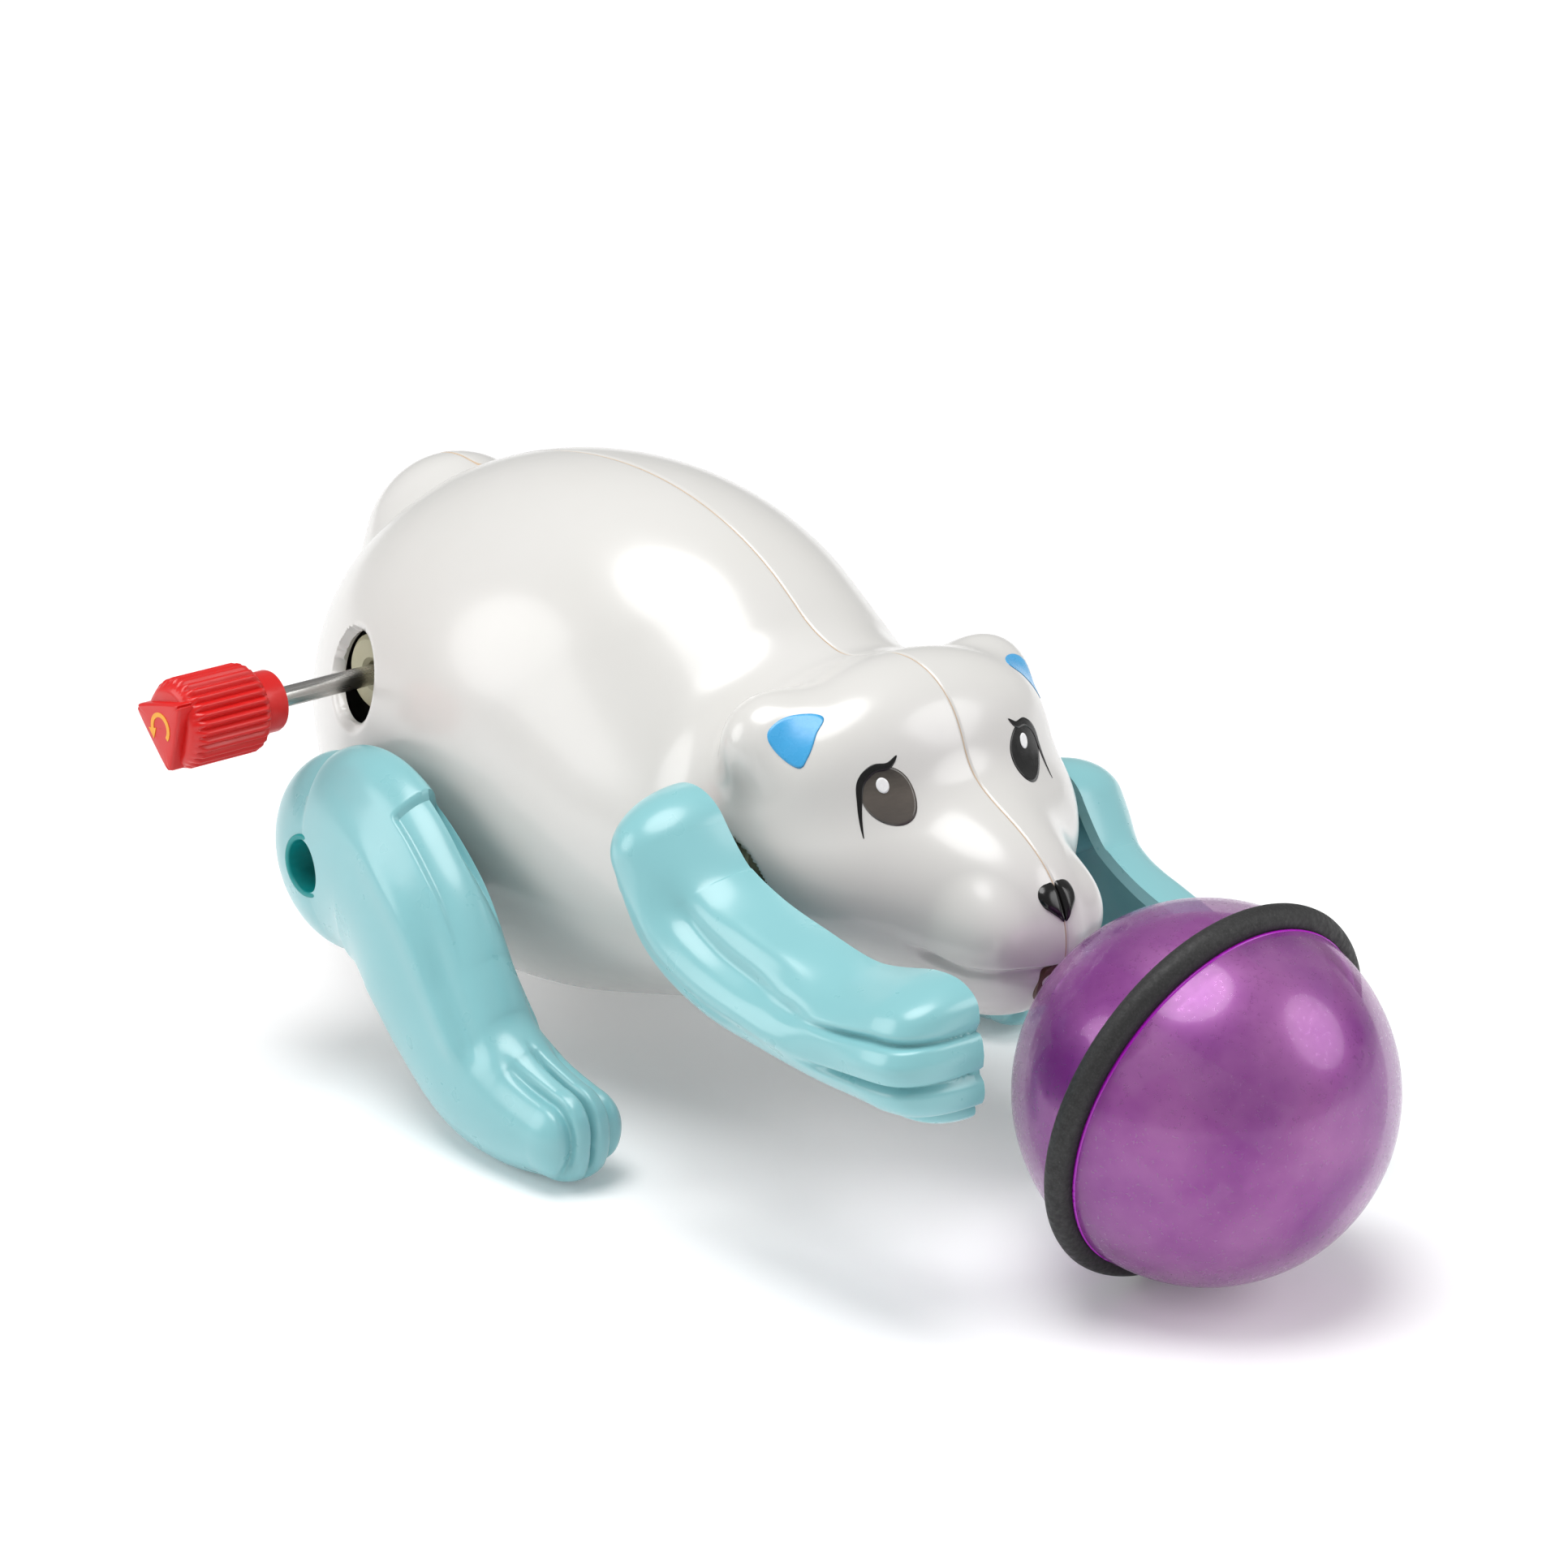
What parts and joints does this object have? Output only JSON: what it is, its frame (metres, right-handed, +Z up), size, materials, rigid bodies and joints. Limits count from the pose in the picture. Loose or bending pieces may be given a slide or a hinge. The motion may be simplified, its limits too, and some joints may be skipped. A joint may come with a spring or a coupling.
{
  "type": "wind-up polar bear with ball",
  "caption": "Clockwork polar bear on posable hind legs that paws the air with two cranked arms while it spins a ringed ball held at its mouth.",
  "frame": {"origin": "on the floor, in the middle plane of the bear, 0.8 mm behind the line under the hip axis", "axes": "+X forward from tail to ball, +Y to the bear's left, +Z up; the winding key is on -Y"},
  "size_m": [0.1338, 0.076, 0.0574],
  "materials": {
    "white_shell": "gloss white moulding",
    "screw_steel": "satin",
    "motor_frame": "satin",
    "shaft_steel": "drawn wire",
    "red_key": "gloss red moulding",
    "spring_steel": "blued",
    "gear_plastic": "natural acetal",
    "bush_brown": "satin",
    "ball_purple": "translucent pearl purple",
    "hub_purple": "gloss",
    "black_rubber": "matt",
    "turquoise_limb": "gloss turquoise moulding"
  },
  "bodies": {
    "body": {"shell_right": "white_shell", "shell_left": "white_shell", "shell_screws": "screw_steel", "motor_plate_right": "motor_frame", "motor_plate_left": "motor_frame", "plate_pillars": "shaft_steel", "plate_screws": "screw_steel", "mainspring": "spring_steel", "second_axle": "shaft_steel", "third_axle": "shaft_steel", "idler_axle": "shaft_steel", "escape_axle": "shaft_steel", "pallet_axle": "shaft_steel", "shaft_bearing": "gear_plastic", "mouth_bush": "bush_brown", "hip_screws": "screw_steel"},
    "winding": {"winding_shaft": "shaft_steel", "winding_knob": "red_key", "ratchet_wheel": "gear_plastic"},
    "great_wheel": {"great_wheel": "gear_plastic", "click": "spring_steel", "click_rivet": "shaft_steel"},
    "second_wheel": {"second_wheel": "gear_plastic"},
    "third_wheel": {"third_wheel": "gear_plastic"},
    "idler_gear": {"idler_gear": "gear_plastic"},
    "escape_wheel": {"escape_wheel": "gear_plastic"},
    "pallet": {"pallet": "gear_plastic"},
    "crank": {"crank_axle": "shaft_steel", "crank_gear": "gear_plastic", "crown_wheel": "gear_plastic", "crank_right": "gear_plastic", "crank_left": "gear_plastic"},
    "ball": {"ball_pinion": "gear_plastic", "ball_shaft": "shaft_steel", "ball_hub": "hub_purple", "ball_rear_shell": "ball_purple", "ball_front_shell": "ball_purple", "ball_ring": "black_rubber"},
    "arm_right": {"arm_right": "turquoise_limb"},
    "arm_left": {"arm_left": "turquoise_limb"},
    "leg_right": {"leg_right_outer": "turquoise_limb", "leg_right_inner": "turquoise_limb"},
    "leg_left": {"leg_left_outer": "turquoise_limb", "leg_left_inner": "turquoise_limb"}
  },
  "joints": [
    {"name": "ball_spin", "type": "hinge", "parent": "body", "child": "ball", "pos_m": [0.047, 0, 0.0282], "axis": [0.971, 0, -0.2392], "continuous": true},
    {"name": "crank_turn", "type": "hinge", "parent": "body", "child": "crank", "pos_m": [0.047, 0, 0.0282], "axis": [0, 1, 0], "continuous": true},
    {"name": "idler_turn", "type": "hinge", "parent": "body", "child": "idler_gear", "pos_m": [0.03452, 0, 0.02304], "axis": [0, 1, 0], "continuous": true},
    {"name": "third_turn", "type": "hinge", "parent": "body", "child": "third_wheel", "pos_m": [0.02241, 0, 0.02899], "axis": [0, 1, 0], "continuous": true},
    {"name": "second_turn", "type": "hinge", "parent": "body", "child": "second_wheel", "pos_m": [0.01052, 0, 0.03066], "axis": [0, 1, 0], "continuous": true},
    {"name": "great_turn", "type": "hinge", "parent": "body", "child": "great_wheel", "pos_m": [-0.0047, 0, 0.0362], "axis": [0, 1, 0], "continuous": true},
    {"name": "escape_turn", "type": "hinge", "parent": "body", "child": "escape_wheel", "pos_m": [0.01776, 0, 0.01902], "axis": [0, 1, 0], "continuous": true},
    {"name": "winding_turn", "type": "hinge", "parent": "body", "child": "winding", "pos_m": [-0.0047, 0, 0.0362], "axis": [0, 1, 0], "continuous": true},
    {"name": "pallet_rock", "type": "hinge", "parent": "body", "child": "pallet", "pos_m": [0.01056, 0, 0.01822], "axis": [0, 1, 0], "range_deg": [-3, 3]},
    {"name": "arm_right_pin", "type": "hinge", "parent": "crank", "child": "arm_right", "pos_m": [0.04636, 0, 0.03184], "axis": [0, 1, 0], "continuous": true},
    {"name": "arm_left_pin", "type": "hinge", "parent": "crank", "child": "arm_left", "pos_m": [0.04764, 0, 0.02456], "axis": [0, 1, 0], "continuous": true},
    {"name": "hip_right", "type": "hinge", "parent": "body", "child": "leg_right", "pos_m": [0.0008, -0.0247, 0.0212], "axis": [0, 1, 0], "range_deg": [-12, 20]},
    {"name": "hip_left", "type": "hinge", "parent": "body", "child": "leg_left", "pos_m": [0.0008, 0.0247, 0.0212], "axis": [0, 1, 0], "range_deg": [-12, 20]}
  ],
  "couplings": [
    {"joint": "crank_turn", "follows": "ball_spin", "ratio": 0.6},
    {"joint": "idler_turn", "follows": "ball_spin", "ratio": -0.87273},
    {"joint": "third_turn", "follows": "ball_spin", "ratio": 0.6},
    {"joint": "second_turn", "follows": "ball_spin", "ratio": -0.2},
    {"joint": "great_turn", "follows": "ball_spin", "ratio": 0.057143},
    {"joint": "escape_turn", "follows": "ball_spin", "ratio": -1.6},
    {"joint": "arm_right_pin", "follows": "ball_spin", "ratio": -0.6},
    {"joint": "arm_left_pin", "follows": "ball_spin", "ratio": -0.6}
  ]
}
